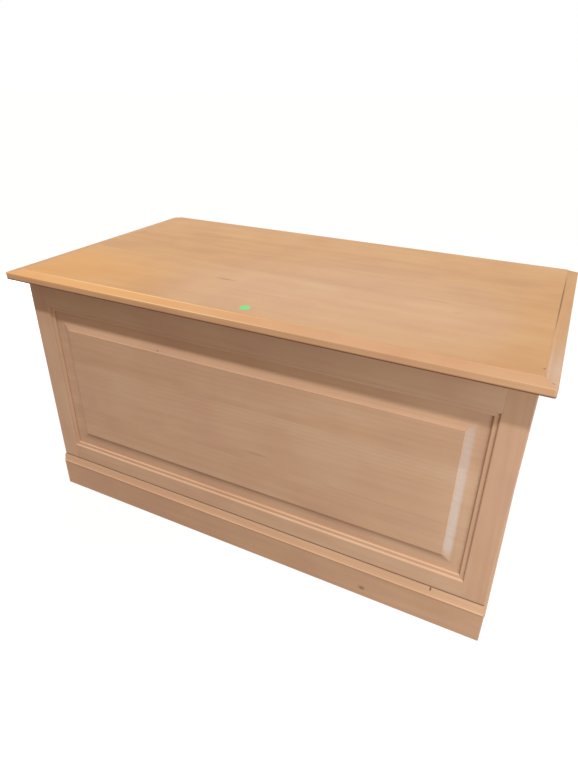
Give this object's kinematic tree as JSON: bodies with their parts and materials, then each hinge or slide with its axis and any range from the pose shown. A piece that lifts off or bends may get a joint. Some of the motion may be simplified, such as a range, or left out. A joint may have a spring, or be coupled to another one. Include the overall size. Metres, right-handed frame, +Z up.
{
  "type": "blanket chest",
  "caption": "Joined blanket chest: frame-and-panel carcass with raised panels on a moulded plinth, and a hinged lid with a mitred edge moulding and slotted stays.",
  "frame": {"origin": "on the floor, under the middle of the closed chest's box", "axes": "+Z up, +X to the right along the length of the chest, -Y towards the front panel"},
  "size_m": [1, 0.5532, 0.531],
  "materials": {
    "pine": "satin varnish",
    "brass": "satin",
    "steel": "zinc plated"
  },
  "bodies": {
    "carcass": {"back_bottom_rail": "pine", "back_left_stile": "pine", "back_panel": "pine", "back_right_stile": "pine", "back_top_rail": "pine", "floor_board_1": "pine", "floor_board_2": "pine", "floor_board_3": "pine", "floor_board_4": "pine", "floor_board_5": "pine", "floor_cleat_front": "pine", "floor_cleat_left": "pine", "floor_cleat_rear": "pine", "floor_cleat_right": "pine", "front_bottom_rail": "pine", "front_left_stile": "pine", "front_panel": "pine", "front_right_stile": "pine", "front_top_rail": "pine", "hinge_carcass_screws": "brass", "left_bottom_rail": "pine", "left_front_stile": "pine", "left_hinge_carcass_leaf": "brass", "left_hinge_pin": "brass", "left_panel": "pine", "left_rear_stile": "pine", "left_stay_stud": "steel", "left_top_rail": "pine", "plinth_back": "pine", "plinth_front": "pine", "plinth_glue_blocks": "pine", "plinth_left": "pine", "plinth_right": "pine", "right_bottom_rail": "pine", "right_front_stile": "pine", "right_hinge_carcass_leaf": "brass", "right_hinge_pin": "brass", "right_panel": "pine", "right_rear_stile": "pine", "right_stay_stud": "steel", "right_top_rail": "pine", "stay_carcass_screws": "steel"},
    "lid": {"hinge_lid_screws": "brass", "left_hinge_lid_leaf": "brass", "left_stay_bracket": "steel", "left_stay_rivet": "steel", "lid_batten_screws": "steel", "lid_front_moulding": "pine", "lid_left_batten": "pine", "lid_left_moulding": "pine", "lid_panel": "pine", "lid_right_batten": "pine", "lid_right_moulding": "pine", "right_hinge_lid_leaf": "brass", "right_stay_bracket": "steel", "right_stay_rivet": "steel", "stay_lid_screws": "steel"},
    "left_stay_arm": {"left_stay_arm": "steel"},
    "right_stay_arm": {"right_stay_arm": "steel"}
  },
  "joints": [
    {"name": "lid_hinge", "type": "hinge", "parent": "carcass", "child": "lid", "pos_m": [0, 0.2734, 0.5145], "axis": [-1, 0, 0], "range_deg": [0, 95]},
    {"name": "left_stay_pivot", "type": "hinge", "parent": "lid", "child": "left_stay_arm", "pos_m": [-0.4547, 0.13891, 0.50273], "axis": [-1, 0, 0], "range_deg": [-47.5, 0]},
    {"name": "right_stay_pivot", "type": "hinge", "parent": "lid", "child": "right_stay_arm", "pos_m": [0.4547, 0.13891, 0.50273], "axis": [-1, 0, 0], "range_deg": [-47.5, 0]}
  ],
  "couplings": [
    {"joint": "left_stay_pivot", "follows": "lid_hinge", "ratio": -0.5},
    {"joint": "right_stay_pivot", "follows": "lid_hinge", "ratio": -0.5}
  ]
}
